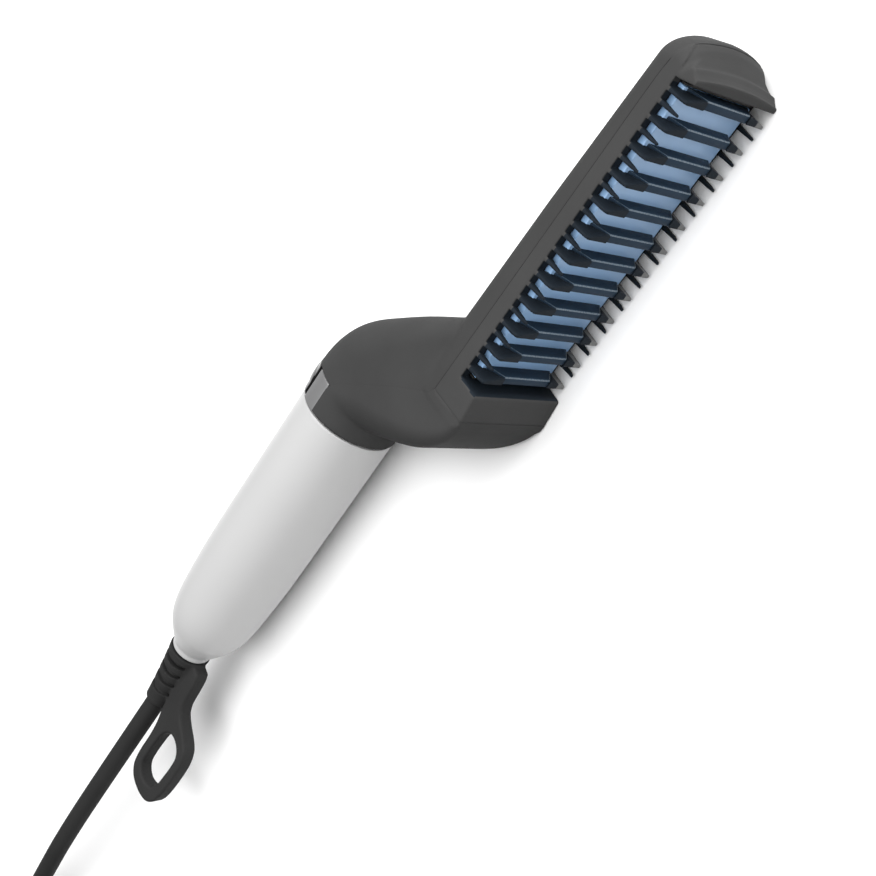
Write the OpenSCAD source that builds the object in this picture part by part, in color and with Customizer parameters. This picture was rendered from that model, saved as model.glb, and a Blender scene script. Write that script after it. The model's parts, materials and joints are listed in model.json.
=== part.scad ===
// Heated hair and beard straightening comb, lying on its side.
// +X runs along the head to its tip, -Y is the way the teeth point, +Z is up.
// All lengths are millimetres.

/* [Comb head] */
// Distance from one heated blade to the next
pitch = 7; // [6.9:0.05:7.1]
// Number of heated blades
blades = 12; // [11:1:13]
// Overall width of the comb head
head_w = 31.2; // [30.6:0.2:32]
// Height of the guard teeth above the gullets between them
tooth_h = 5.2; // [4.6:0.1:5.4]
// Thickness of one heated blade
blade_t = 2.1; // [1.8:0.1:2.2]
// Height of a heated blade above the plate
blade_h = 3.8; // [3.4:0.1:4]
// Wall thickness of the mouldings
wall = 1.9; // [1.6:0.1:2.1]

/* [Handle] */
// Offset of the handle's axis from the gullet line of the teeth
handle_off = 33.2; // [33:0.1:33.4]
// Radius of the handle
handle_r = 13.65; // [13.4:0.05:13.8]
// Radius of the dark collar that the handle butts against
collar_r = 13.9; // [13.8:0.05:14]
// Radius of the swivel shaft
swivel_r = 4; // [3.8:0.1:4.2]
// Running clearance of the swivel shaft in its bush, on the radius
swivel_gap = 0.06; // [0.03:0.01:0.1]

/* [Power button] */
// Half width of the button strip across the collar
button_hw = 12.1; // [11.5:0.1:12.2]
// How far the button travels when it is pressed
button_travel = 0.6; // [0.4:0.1:0.6]

/* [Cord] */
// Diameter of the cord
cord_d = 6; // [5.8:0.1:6]
// Radius of the cord's coil at the middle of its turns
coil_r = 33; // [31:1:35]
// Width of the hole in the hanging loop
loop_hole_w = 9.6; // [9:0.2:11]

/* [Hidden] */
$fn = 48;

hw = head_w/2;
hy = handle_off;
part_y = 4.2;                       // parting line between the guard and the rear housing
hood_x = pitch*(blades - 1) + 2.2;  // inner face of the tip hood
tip_x = hood_x + 9.4;               // furthest point of the tip
loop_end = 188.8;                   // furthest point of the hanging loop
heel_x = -3.6;                      // inner face of the heel block
chin_x = -11.3;                     // rear face of the heel block
plate_y = -1.1;                     // outer face of the heating plate
plate_t = 2;
tube_r = 10.1;                      // bore of the collar and of its spigot
button_proud = 0.5;                 // the button stands this far out of the collar
// The part frame: the floor is under the far wall of the head, the origin under the middle of the comb
shift = [(loop_end - tip_x)/2, -(hy + collar_r + button_proud - 7.2)/2, hw];
module place() { translate(shift) children(); }

function lerp(a, b, t) = a + (b - a)*t;
function spow(v, e) = sign(v)*pow(abs(v), e);

// Sections of the neck: point on the underside, point on the back, half width, squareness below and above
SEC = [
    [[-46.2, 19.3], [-46.2, 47.1], 13.9, 2, 2],
    [[-42.6, 19.3], [-41, 47.1], 13.9, 2, 2],
    [[-41.2, 19.5], [-35.5, 46.9], 13.9, 2.05, 2],
    [[-40.2, 18.2], [-30.5, 45.8], 13.95, 2.1, 2.05],
    [[-39, 16.5], [-26, 43.9], 14, 2.2, 2.1],
    [[-37.5, 14.5], [-21.8, 41.2], 14.2, 2.3, 2.2],
    [[-35.5, 11.7], [-17.2, 37.2], 14.5, 2.5, 2.3],
    [[-32.9, 8.1], [-12.6, 32.3], 14.8, 2.7, 2.4],
    [[-29.8, 4], [-8, 27.3], 15.1, 2.9, 2.5],
    [[-26.6, 0.4], [-3.6, 22.6], 15.3, 3.1, 2.7],
    [[-22.8, -2.9], [0.4, 18.5], hw - 0.2, 3.3, 2.9],
    [[-18, -5.7], [4.2, 14.8], hw - 0.15, 3.5, 3.1],
    [[-12.6, -7], [8.2, 12.4], hw - 0.15, 3.8, 3.3],
    [[-4, -7.15], [13, 12.1], hw - 0.15, 4, 3.5],
    [[4, -7.15], [18, 12.1], hw - 0.15, 4, 3.5]];
SIDES = 36;

// Ring of points of one section, drawn in by t
function ring(s, t) =
    let (m = (s[0] + s[1])/2, d = s[1] - s[0], L = norm(d), k = (L/2 - t)/L)
    [for (j = [0 : SIDES - 1])
        let (f = -360*j/SIDES, c = cos(f), e = c >= 0 ? 2/s[4] : 2/s[3],
            u = spow(c, e), v = spow(sin(f), e))
        [m.x + d.x*k*u, m.y + d.y*k*u, (s[2] - t)*v]];

// A closed skin over a list of rings, all with the same number of points
module skin(rings) {
    n = len(rings[0]); m = len(rings);
    polyhedron(
        points = [for (r = rings) each r],
        faces = concat(
            [[for (j = [n - 1 : -1 : 0]) j]],
            [[for (j = [0 : n - 1]) (m - 1)*n + j]],
            [for (i = [0 : m - 2]) for (j = [0 : n - 1])
                [i*n + j, i*n + (j + 1) % n, (i + 1)*n + (j + 1) % n, (i + 1)*n + j]]),
        convexity = 6);
}

// A round tube swept along points, with the ring kept upright
function unit(v) = v/norm(v);
function tangent(P, i) = unit(P[min(i + 1, len(P) - 1)] - P[max(i - 1, 0)]);
module sweep(P, r, sides = 8) {
    skin([for (i = [0 : len(P) - 1])
        let (t = tangent(P, i), a = unit(cross(abs(t.z) > 0.9 ? [1, 0, 0] : [0, 0, 1], t)), b = cross(t, a))
        [for (j = [0 : sides - 1]) let (f = -360*j/sides) P[i] + r*(cos(f)*a + sin(f)*b)]]);
}

// Smooth curve through hand-chosen points, n steps in each span
function curve(P, n) = concat([for (i = [0 : len(P) - 2]) for (j = [0 : n - 1])
    let (t = j/n, p0 = P[max(i - 1, 0)], p1 = P[i], p2 = P[i + 1], p3 = P[min(i + 2, len(P) - 1)])
    0.5*(2*p1 + (p2 - p0)*t + (2*p0 - 5*p1 + 4*p2 - p3)*t*t + (3*p1 - p0 - 3*p2 + p3)*t*t*t)],
    [P[len(P) - 1]]);

module along_x(x0, x1, r, y = hy, z = 0) { translate([x0, y, z]) rotate([0, 90, 0]) cylinder(h = x1 - x0, r = r); }
module block(a, b) { translate(a) cube(b - a); }

// Cross-section of the head, drawn in by t: flat sides, rounded back corners, crowned back
function head_pts(t) = let (b = hw - t)
    concat([[-b, -12], [b, -12]],
        [for (f = [0 : 15 : 90]) [b - 4.6*(1 - cos(f)), 7.2 - t*0.6 + 3.9*sin(f)]],
        [for (f = [6 : -2 : -6]) [(b - 4.6)*f/7.2, 12.35 - t - 1.2*pow(abs(f)/7.2, 2)]],
        [for (f = [90 : -15 : 0]) [-b + 4.6*(1 - cos(f)), 7.2 - t*0.6 + 3.9*sin(f)]]);
// Side view of the head, drawn in by t
function head_side(x0, t) = [[x0, -9], [tip_x - 6.6 - t, -9], [tip_x - 3.4 - t, -2.4], [tip_x - 0.5 - t, 2.2],
    [tip_x - t, 4.6], [tip_x - 0.6 - t, 7.2], [tip_x - 1.8 - t, 9.8], [tip_x - 3.4 - t, 13 - t], [x0, 13 - t]];

module head_solid(x0, t) {
    intersection() {
        translate([x0, 0, 0]) rotate([90, 0, 90]) linear_extrude(tip_x - x0 + 1) polygon([for (p = head_pts(t)) [p.y, p.x]]);
        translate([0, 0, -hw - 1]) linear_extrude(2*hw + 2) polygon(head_side(x0 - 1, t));
        translate([tip_x - t - 82, 20, 0]) rotate([90, 0, 0]) cylinder(h = 40, r = 82, $fn = 120);
    }
}

// Everything behind the seam line, and everything in front of it
SEAM = [[-70, hy], [-36.4, hy], [-34.6, 30.9], [-26.2, 21.4], [-19.5, 13.5], [-13.1, 4.6], [-11.3, part_y], [110, part_y]];
module rear_side() { translate([0, 0, -30]) linear_extrude(60) polygon(concat(SEAM, [[110, 70], [-70, 70]])); }
module front_side() {
    translate([0, 0, -30]) linear_extrude(60) polygon(concat([[-70, hy]],
        [for (i = [1 : 5]) SEAM[i]], [[chin_x - 0.2, part_y + 0.1], [chin_x - 0.2, -30], [-70, -30]]));
}

module shell_outer() {
    skin([for (i = [0 : len(SEC) - 2]) ring(SEC[i], 0)]);
    along_x(-58, -46, collar_r - 2.2);
}
module shell_inner() {
    skin([for (i = [3 : len(SEC) - 1]) ring(SEC[i], wall)]);
    along_x(-60, -34, tube_r);
    head_solid(-14, wall);
}

module handle_sleeve() {
    color("white") difference() {
        translate([0, hy, 0]) rotate([0, 90, 0]) rotate_extrude($fn = 96) polygon([
            [0, -141.3], [5.6, -141.3], [6.1, -140.8], [6.1, -139.6], [6.6, -139], [8.2, -136.8], [9.7, -134], [11, -131],
            [11.9, -127.5], [12.5, -122], [12.9, -117], [13.3, -111], [13.55, -105], [handle_r, -98],
            [handle_r, -46.4], [0, -46.4]]);
        along_x(-118, -46, collar_r - 2.1);
        translate([0, hy, 0]) rotate([0, 90, 0]) rotate_extrude($fn = 96) polygon([
            [0, -133], [8.2, -133], [9.4, -130], [10.3, -126.5], [10.8, -121], [collar_r - 2.1, -117.9], [0, -117.9]]);
        along_x(-143, -132, 5.2);
    }
}

module rear_housing() {
    color("dimgray") difference() {
        union() {
            difference() {
                intersection() {
                    difference() {
                        union() { shell_outer(); head_solid(chin_x, 0); }
                        shell_inner();
                    }
                    rear_side();
                }
                // recess for the control panel and the button
                intersection() { along_x(-46.2, -36.4, collar_r + 2); block([-47, hy, -20], [-36, 60, 20]); }
            }
            // ring under the panel
            intersection() {
                difference() { along_x(-47, -36.2, 11.5); along_x(-48, -36, tube_r); }
                block([-47, hy, -20], [-36, 60, 20]);
            }
            // screw pillars
            for (x = [38, tip_x - 6]) translate([x, 10.9, 0]) rotate([90, 0, 0]) cylinder(h = x > 60 ? 6.4 : 4.4, r = 3.4);
        }
        translate([-41.3, hy, 0]) rotate([-90, 0, 0]) cylinder(h = 20, r = 1.9);
        for (x = [38, tip_x - 6]) translate([x, 16, 0]) rotate([90, 0, 0]) cylinder(h = 14, r = 1.7);
        for (x = [38, tip_x - 6]) translate([x, 16, 0]) rotate([90, 0, 0]) cylinder(h = 5.6, r = 2.8);
    }
}

module front_housing() {
    color("dimgray") intersection() {
        difference() { shell_outer(); shell_inner(); }
        front_side();
    }
}

// One tooth outline in the plane across the head: wide ones cap a blade, narrow ones stand between
module tooth(x0, x1, wide) {
    o = hw;
    translate([x0, 0, 0]) rotate([90, 0, 90]) linear_extrude(x1 - x0)
        polygon(wide
            ? [[1, o - 2.6], [1, o - 0.2], [-tooth_h + 1.2, o - 0.5], [-tooth_h, o - 1.1], [-tooth_h, 8.5], [-0.9, o - 3.1]]
            : [[1, o - 2.6], [1, o - 0.2], [-tooth_h + 1.4, o - 0.3], [-tooth_h, o - 0.9], [-tooth_h, o - 1.5]]);
}

module comb_guard() {
    color("gray") {
        difference() {
            intersection() {
                head_solid(chin_x, 0);
                translate([0, 0, -20]) linear_extrude(40) polygon([[chin_x, part_y - 0.1], [chin_x, -7.2], [-4.3, -6.2], [heel_x, 0.45],
                    [hood_x, 0.45], [hood_x + 0.8, -4.3], [tip_x + 1, -4.3], [tip_x + 1, part_y - 0.1]]);
            }
            block([heel_x, -10, -hw + 2.6], [hood_x, 10, hw - 2.6]);
            // hollow of the heel block and of the tip hood
            block([chin_x + wall, -4.8, -hw + 2.6], [heel_x - wall, 10, hw - 2.6]);
            block([hood_x + wall, -2.4, -hw + 3.2], [tip_x - 4.8, 10, hw - 3.2]);
        }
        // boss for the tip screw
        difference() {
            translate([tip_x - 6, -2.6, 0]) rotate([-90, 0, 0]) cylinder(h = 6.4, r = 3);
            translate([tip_x - 6, -1.6, 0]) rotate([-90, 0, 0]) cylinder(h = 8, r = 1.15);
        }
        for (m = [0, 1]) mirror([0, 0, m]) {
            for (k = [0 : blades - 1]) tooth(pitch*k - 0.6, pitch*k + 1.3, true);
            for (k = [0 : blades - 2]) tooth(pitch*(k + 0.5) - 0.6, pitch*(k + 0.5) + 0.5, false);
        }
    }
}

module heating_plate() {
    color("lightsteelblue") difference() {
        block([-2.6, plate_y, -12.6], [hood_x - 0.9, plate_y + plate_t, 12.6]);
        for (k = [0 : blades - 1]) block([pitch*k - 0.75, plate_y - 1, -11.4], [pitch*k - 0.75 + blade_t, plate_y + 1, 11.4]);
    }
}

module comb_blades() {
    color("midnightblue") for (k = [0 : blades - 1]) translate([pitch*k - 0.75, 0, 0]) rotate([90, 0, 90]) linear_extrude(blade_t)
        polygon([[plate_y + 1, -11.4], [plate_y + 1, 11.4], [plate_y, 11.4], [plate_y - blade_h, 8], [plate_y - blade_h, -8], [plate_y, -11.4]]);
}

module plate_carrier() {
    color("saddlebrown") difference() {
        block([heel_x + 0.4, -0.6, -12.5], [hood_x - 0.3, 6, 12.5]);
        block([-2.8, -2, -13], [hood_x - 0.7, 0.9, 13]);
        block([2, 0, -8.6], [34.4, 5, 8.6]);
        block([41.6, 0, -8.6], [74, 5, 8.6]);
        block([34, 3.2, -6], [42, 5, -3.6]);
        block([34, 0.8, -6], [42, 1.6, -3.6]);
        translate([38, 0.8, 4.8]) rotate([-90, 0, 0]) cylinder(h = 6, r = 1.3);
        block([-1.2, 0, -8], [2.4, 9, -3]);
        block([-1.2, 0, 3], [2.4, 9, 8]);
        translate([38, 0, 0]) rotate([-90, 0, 0]) cylinder(h = 8, r = 1.3);
    }
}

module insulating_film() {
    color("goldenrod") for (x = [3, 42]) block([x, 0.9, -8.2], [x + 31, 1.15, 8.2]);
    color("goldenrod") for (x = [3, 42]) block([x, 3.55, -8.2], [x + 31, 3.8, 8.2]);
}
module heater_electrodes() {
    color("khaki") for (x = [4, 43]) {
        block([x, 1.15, -7], [x + 29, 1.45, 7]);
        block([x, 3.25, -7], [x + 29, 3.55, 7]);
    }
    color("khaki") block([-0.6, 1.15, -7], [4, 1.45, -4]);
    color("khaki") for (y = [1.15, 3.25]) block([33, y, -5.8], [43, y + 0.3, -3.8]);
    color("khaki") block([-0.6, 3.25, 4], [4, 3.55, 7]);
}
module heater_stones() {
    color("darkgray") for (x = [5, 44]) for (i = [0, 1]) block([x + 14*i, 1.45, -6], [x + 14*i + 13, 3.25, 6]);
}
module clamp_spring() {
    color("silver") for (x = [3, 42]) translate([0, 0, -6]) linear_extrude(12)
        polygon([[x, 3.8], [x + 4, 3.8], [x + 10, 4.6], [x + 15.5, 3.8], [x + 21, 4.6], [x + 27, 3.8], [x + 31, 3.8],
            [x + 31, 4.2], [x + 27, 4.2], [x + 21, 5], [x + 15.5, 4.2], [x + 10, 5], [x + 4, 4.2], [x, 4.2]]);
}
module thermal_fuse() {
    color("wheat") along_x(10, 19, 1.9, 8, -3.6);
    color("silver") along_x(6, 10, 0.5, 8, -3.6);
    color("silver") along_x(19, 23, 0.5, 8, -3.6);
}
module thermistor() {
    color("black") translate([38, 0.9, 4.8]) rotate([-90, 0, 0]) cylinder(h = 2.2, r = 1.1);
}

LEAD = [[-38.4, 36.2, 0], [-33, 34, 0], [-24, 26, 0], [-15, 16, 0], [-7, 10, 0], [-1, 7.4, 0], [0.6, 5.8, 0]];
SENSE = [[-38.4, 35, 0], [-31, 31, 0], [-22, 21, 0], [-14, 12.4, 0], [-6, 8.6, 0], [6, 7.2, 0], [20, 7, 0], [33, 6.9, 0], [37.4, 6.2, 0], [38, 5.1, 0]];
module heater_leads() {
    color("red") for (s = [-1, 1]) sweep([for (p = curve(concat(LEAD, [[0.8, s < 0 ? 1.45 : 3.55, 0]]), 3))
        [p.x, p.y, s*(3.5 + 2*max(0, min(1, (p.x + 25)/20)))]], 0.8);
}
module sensor_leads() {
    color("ivory") for (s = [-1, 1]) sweep([for (p = curve(SENSE, 2)) [p.x, p.y, s*0.6 + (p.x > -2 ? 4.8*max(0, min(1, (p.x + 2)/30)) : 0)]], 0.5, 6);
}

module control_board() {
    color("darkgreen") difference() {
        block([-102, 37, -7.4], [-38, 38.6, 7.4]);
        for (z = [-5, 5]) translate([-99, 30, z]) rotate([-90, 0, 0]) cylinder(h = 12, r = 0.9);
    }
}
module tact_switch() {
    color("black") block([-44.3, 38.6, -3], [-38.3, 42.2, 3]);
    color("silver") translate([-41.3, 42.2, 0]) rotate([-90, 0, 0]) cylinder(h = 1, r = 1.6);
}
module film_capacitor() { color("gold") block([-80, 29.5, -5.5], [-66, 37, 5.5]); }
module triac() {
    color("black") block([-62, 28, -5], [-57.6, 36, 5]);
    color("silver") for (z = [-2.5, 0, 2.5]) block([-60.2, 36, z - 0.4], [-59.4, 37, z + 0.4]);
}
module board_resistors() {
    color("tan") for (x = [-93, -88.5, -84]) { translate([x, 35, -4]) cylinder(h = 8, r = 1.6, $fn = 32); }
    color("silver") for (x = [-93, -88.5, -84]) for (z = [-5.2, 4]) block([x - 0.3, 34.7, z], [x + 0.3, 37, z + 1.2]);
}
module indicator_led() {
    color("orangered") translate([-47.6, 38.6, 0]) rotate([-90, 0, 0]) cylinder(h = 2.2, r = 1.5, $fn = 32);
    color("orangered") translate([-47.6, 40.8, 0]) sphere(r = 1.5, $fn = 32);
}

module control_panel() {
    color("silver") difference() {
        intersection() { along_x(-46.2, -36.6, collar_r); block([-47, hy, -20], [-36, 60, 20]); }
        along_x(-48, -35, 11.6);
        difference() {
            block([-48, hy + 2, -button_hw - 0.2], [-35, 60, button_hw + 0.2]);
            along_x(-48, -35, 12.1);
        }
        translate([-41.3, hy, 0]) rotate([-90, 0, 0]) cylinder(h = 20, r = 1.9);
    }
}
module power_button() {
    color("black") difference() {
        intersection() { along_x(-46, -36.8, collar_r + button_proud); block([-47, hy + 2, -button_hw], [-36, 60, button_hw]); }
        along_x(-48, -35, 12.9);
    }
    color("black") translate([-41.3, hy + 10.75, 0]) rotate([-90, 0, 0]) cylinder(h = 2.6, r = 1.5);
}

module screw(x, y, L) {
    translate([x, y, 0]) rotate([90, 0, 0]) cylinder(h = 1.6, r = 2.5);
    translate([x, y - 1.6, 0]) rotate([90, 0, 0]) cylinder(h = L, r = 1.1);
}
module housing_screws() {
    color("silver") screw(38, 12, 8);
    color("silver") screw(tip_x - 6, 12, 11);
}

module swivel_bush() {
    color("ivory") difference() {
        union() { along_x(-141.2, -131, 5.2); along_x(-132.8, -130.6, 7.4); }
        along_x(-143, -130, swivel_r + swivel_gap);
    }
}
module swivel_shaft() {
    color("dimgray") difference() {
        union() { along_x(-151, -118.5, swivel_r); along_x(-130.2, -128.8, 6); }
        along_x(-152, -118, 2);
    }
}
module slip_rings() {
    color("gold") for (x = [-126.6, -122.8]) difference() { along_x(x, x + 1.8, 4.9); along_x(x - 1, x + 3, swivel_r); }
}
module contact_carrier() {
    color("saddlebrown") difference() {
        along_x(-121, -113, 10.4);
        along_x(-122, -112, 6.4);
        for (s = [-1, 1]) block([-122, hy + s*7.2 - 0.35, -2.2], [-112, hy + s*7.2 + 0.35, 2.2]);
    }
}
module brush_contacts() {
    color("gold") block([-126.4, hy + 5, -2], [-125.2, hy + 5.4, 2]);
    color("gold") block([-125.6, hy + 5.4, -2], [-125.2, hy + 7, 2]);
    color("gold") block([-125.6, hy + 7, -2], [-111.5, hy + 7.4, 2]);
    color("gold") block([-122.6, hy - 5.4, -2], [-121.4, hy - 5, 2]);
    color("gold") block([-121.8, hy - 7, -2], [-121.4, hy - 5.4, 2]);
    color("gold") block([-121.8, hy - 7.4, -2], [-111.5, hy - 7, 2]);
}
module supply_leads() {
    color("blue") sweep(curve([[-111.5, hy + 7.2, 0], [-108, hy + 7, 0], [-104, hy + 6.6, 2], [-99.6, hy + 6.2, 4.4], [-99, 38.6, 5]], 3), 0.7, 6);
    color("brown") sweep(curve([[-111.5, hy - 7.2, 0], [-106, hy - 7, -1], [-101, hy - 3, -4], [-99, hy + 1, -5], [-99, 37, -5]], 3), 0.7, 6);
}

module strain_relief() {
    color([0.2, 0.2, 0.2]) difference() {
        translate([0, hy, 0]) rotate([0, 90, 0]) rotate_extrude($fn = 64) polygon([
            [0, -164.2], [3.6, -164.2], [4, -163.4], [4.1, -162.3], [3.6, -161.8], [3.6, -160.8], [4.2, -160.4], [4.35, -158.6],
            [3.8, -158.2], [3.8, -157], [4.5, -156.6], [4.7, -154.6], [4.1, -154.2], [4.1, -153], [4.9, -152.6], [5.15, -150.6],
            [4.6, -150.2], [4.6, -149], [5.35, -148.6], [5.6, -146.6], [5, -146.2], [5, -145], [5.8, -144.6], [6.1, -141.9], [0, -141.9]]);
        along_x(-152, -141, swivel_r);
        along_x(-166, -150, cord_d/2);
    }
}
// Outline of the hanging loop in its own plane, and of the hole in it
LOOP = [[-142.6, 24.2], [-144.6, 23.4], [-148.5, 22.9], [-152.5, 22.6], [-155.2, 22.1], [-157.4, 20.8], [-159.2, 18.2],
    [-160.8, 15.2], [-162.6, 12.7], [-164.8, 11.3], [-168.2, 10.4], [-173, 10.1], [-178, 10.1], [-182.6, 10.4], [-186.2, 11.4],
    [-188.4, 13.4], [-189, 16.4], [-189, 19.4], [-188.3, 22.4], [-186.8, 24.5], [-184.2, 25.8], [-179.5, 26.4],
    [-173.7, 26.5], [-167.5, 27.1], [-161, 28.6], [-150, 29], [-142.6, 28.6]];
module hanging_loop() {
    cy = 18.3; cx = -174.8;
    color([0.2, 0.2, 0.2]) difference() {
        union() {
            translate([0, 0, -2.2]) linear_extrude(4.4) difference() {
                polygon(LOOP);
                polygon([[cx - 10.1, cy - 0.7], [cx - 9, cy - 3], [cx - 6.4, cy - loop_hole_w/2 + 0.5], [cx - 2.4, cy - loop_hole_w/2],
                    [cx + 4, cy - loop_hole_w/2], [cx + 7.4, cy - loop_hole_w/2 + 0.6], [cx + 9.6, cy - 2.4], [cx + 10.2, cy + 0.4],
                    [cx + 9.4, cy + 2.6], [cx + 6.4, cy + loop_hole_w/2 - 0.5], [cx + 1.6, cy + loop_hole_w/2],
                    [cx - 4.3, cy + loop_hole_w/2], [cx - 7.4, cy + loop_hole_w/2 - 0.4], [cx - 9.3, cy + 3]]);
            }
        }
        translate([0, hy, 0]) rotate([0, 90, 0]) rotate_extrude($fn = 64) polygon([[0, -166], [4.12, -166], [4.12, -162.3], [4.37, -158.6],
            [4.72, -154.6], [5.17, -150.6], [5.62, -146.6], [6.12, -141.9], [6.3, -140], [0, -140]]);
    }
}

// Route of the free cord: straight out of the relief, down to the floor, and into the coil
ROUTE = [[-158, 33.2, 0], [-176, 33.2, 0], [-200, 33.2, 0], [-222, 33.2, -0.2], [-240, 33.3, -1], [-256, 33.9, -3],
    [-270, 35.6, -6], [-284, 38.8, -9.4], [-297, 43, -11.8], [-310, 47, -12.6], [-322, 48.5, -12.6]];
coil_c = [-322, 8.4];                // centre of the coil
coil_h = 18.2;
coil_w = 18.4;
// The cord's end leaves the top turn and climbs on to the coil: angle, radius and height of each point
CLIMB = [[40, 26.2, 15.2], [54, 26.2, 15.4], [68, 26.4, 16.5], [82, 26.9, 18.2], [96, 28, 20.2], [110, 29.6, 22], [124, 31.4, 23.4],
    [138, 32.7, 24.4], [152, 33.2, 25], [165, 33.2, 25.3]];
PLUG = [coil_c.x - 32.8, coil_c.y + 5, 25.3 - hw];   // where the cord enters the plug, which lies on the coil
TAIL = concat([for (p = CLIMB) [coil_c.x + p[1]*cos(p[0]), coil_c.y + p[1]*sin(p[0]), p[2] - hw]], [PLUG + [0, 0.6, 0], PLUG + [0, -2, 0]]);

module cord() { color([0.2, 0.2, 0.2]) sweep(curve(ROUTE, 2), cord_d/2, 12); }
module cord_coil() {
    color([0.2, 0.2, 0.2]) difference() {
        translate([coil_c.x, coil_c.y, -hw]) rotate_extrude($fn = 96) polygon([
            [coil_r - coil_w/2 + 1.5, 0], [coil_r + coil_w/2 - 1.5, 0], [coil_r + coil_w/2, 1.5], [coil_r + coil_w/2, coil_h - 1.5],
            [coil_r + coil_w/2 - 1.5, coil_h], [coil_r - coil_w/2 + 1.5, coil_h], [coil_r - coil_w/2, coil_h - 1.5], [coil_r - coil_w/2, 1.5]]);
        tie_outer(0);
        sweep(TAIL, cord_d/2 + 0.3, 8);
        sweep(curve([for (i = [6 : 10]) ROUTE[i]], 2), cord_d/2 + 0.3, 12);
    }
}
module tie_outer(t) {
    translate([coil_c.x, coil_c.y - coil_r, coil_h/2 - hw]) cube([9, coil_w + 1.6 - 2*t, coil_h + (t > 0 ? -2*t : 0)], center = true);
}
module cord_tie() {
    color("black") difference() {
        tie_outer(0);
        translate([coil_c.x, coil_c.y - coil_r, coil_h/2 - hw]) cube([12, coil_w - 0.2, coil_h - 1.8], center = true);
    }
}
module cord_tail() { color([0.2, 0.2, 0.2]) sweep(TAIL, cord_d/2, 8); }

module plug_place() { translate(PLUG) rotate([0, 0, -90]) children(); }
module plug_body() {
    color([0.2, 0.2, 0.2]) plug_place() {
        difference() {
            union() {
                rotate([0, 90, 0]) cylinder(h = 12, r1 = 4, r2 = 5);
                translate([12, 0, -7]) linear_extrude(14) polygon([[0, -6], [4, -6.4], [11, -10], [17.5, -12.4], [23, -12.8],
                    [23, 12.8], [17.5, 12.4], [11, 10], [4, 6.4], [0, 6]]);
            }
            rotate([0, 90, 0]) cylinder(h = 4, r = cord_d/2 + 0.15, center = true);
            for (s = [-1, 1]) translate([29, 9.3*s, 0]) rotate([0, 90, 0]) cylinder(h = 8, r = 1.4);
        }
    }
}
module plug_pins() {
    color("silver") plug_place() for (s = [-1, 1]) translate([29, 9.3*s, 0]) rotate([0, 90, 0]) {
        cylinder(h = 7, r = 1.4);
        translate([0, 0, 6]) cylinder(h = 19, r = 2);
    }
}

place() handle_sleeve();
place() rear_housing();
place() front_housing();
place() comb_guard();
place() heating_plate();
place() comb_blades();
place() plate_carrier();
place() insulating_film();
place() heater_electrodes();
place() heater_stones();
place() clamp_spring();
place() thermal_fuse();
place() thermistor();
place() heater_leads();
place() sensor_leads();
place() control_board();
place() tact_switch();
place() film_capacitor();
place() triac();
place() board_resistors();
place() indicator_led();
place() control_panel();
place() power_button();
place() housing_screws();
place() swivel_bush();
place() contact_carrier();
place() brush_contacts();
place() supply_leads();
place() swivel_shaft();
place() slip_rings();
place() strain_relief();
place() hanging_loop();
place() cord();
place() cord_coil();
place() cord_tie();
place() cord_tail();
place() plug_body();
place() plug_pins();
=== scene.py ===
"""Looks of a heated hair and beard straightening comb, lying on its side, with its cord wound up behind it."""
import json
import math

import bmesh
import bpy
import numpy as np
from mathutils import Matrix, Vector


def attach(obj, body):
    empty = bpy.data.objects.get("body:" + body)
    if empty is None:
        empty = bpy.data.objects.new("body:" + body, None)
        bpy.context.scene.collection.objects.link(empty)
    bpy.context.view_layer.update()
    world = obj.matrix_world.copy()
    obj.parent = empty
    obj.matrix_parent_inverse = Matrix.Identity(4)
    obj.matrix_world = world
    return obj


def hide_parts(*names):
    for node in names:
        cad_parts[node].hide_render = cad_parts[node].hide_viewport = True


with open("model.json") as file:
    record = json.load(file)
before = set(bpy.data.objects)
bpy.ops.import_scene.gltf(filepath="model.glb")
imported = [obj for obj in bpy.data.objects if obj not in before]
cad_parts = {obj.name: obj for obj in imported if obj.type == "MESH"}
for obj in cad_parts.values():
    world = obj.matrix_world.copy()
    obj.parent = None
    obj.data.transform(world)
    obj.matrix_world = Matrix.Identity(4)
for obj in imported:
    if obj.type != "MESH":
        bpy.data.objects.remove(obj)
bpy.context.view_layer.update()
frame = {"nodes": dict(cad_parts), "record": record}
CAD = frame["nodes"]

# ---------------------------------------------------------------- frame and sizes
# Shapes are made in millimetres: x along the head, y away from the teeth, z across, 0 at the middle plane.
OFF = np.array([50.1, -20.2, 15.6])
HY = 33.2  # axis of the handle
HW = 15.6  # half width of the head
PITCH = 7.0
BLADES = 12
WALL = 1.9
CHIN_X = -11.3
HEEL_X = -3.6
HOOD_X = 79.2
TEETH_Y = -5.25
SCREWS = (38.0, 82.6)  # along the back of the head


def row(p):
    return (np.asarray(p, float) + OFF) / 1000.0


# ---------------------------------------------------------------- camera
def camera():
    data = bpy.data.cameras.new("camera")
    data.sensor_fit = "HORIZONTAL"
    data.sensor_width = 36.0
    data.lens = 59.42
    data.clip_start = 0.01
    cam = bpy.data.objects.new("camera", data)
    bpy.context.scene.collection.objects.link(cam)
    back = Vector((0.46851, -0.50101, 0.72768)).normalized()
    up = Vector((0.71520, 0.69853, 0.02057))
    right = up.cross(back).normalized()
    up = back.cross(right)
    m = Matrix((right, up, back)).transposed().to_4x4()
    m.translation = Vector((0.18924, -0.19345, 0.27615))
    cam.matrix_world = m
    bpy.context.scene.camera = cam


camera()


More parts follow.
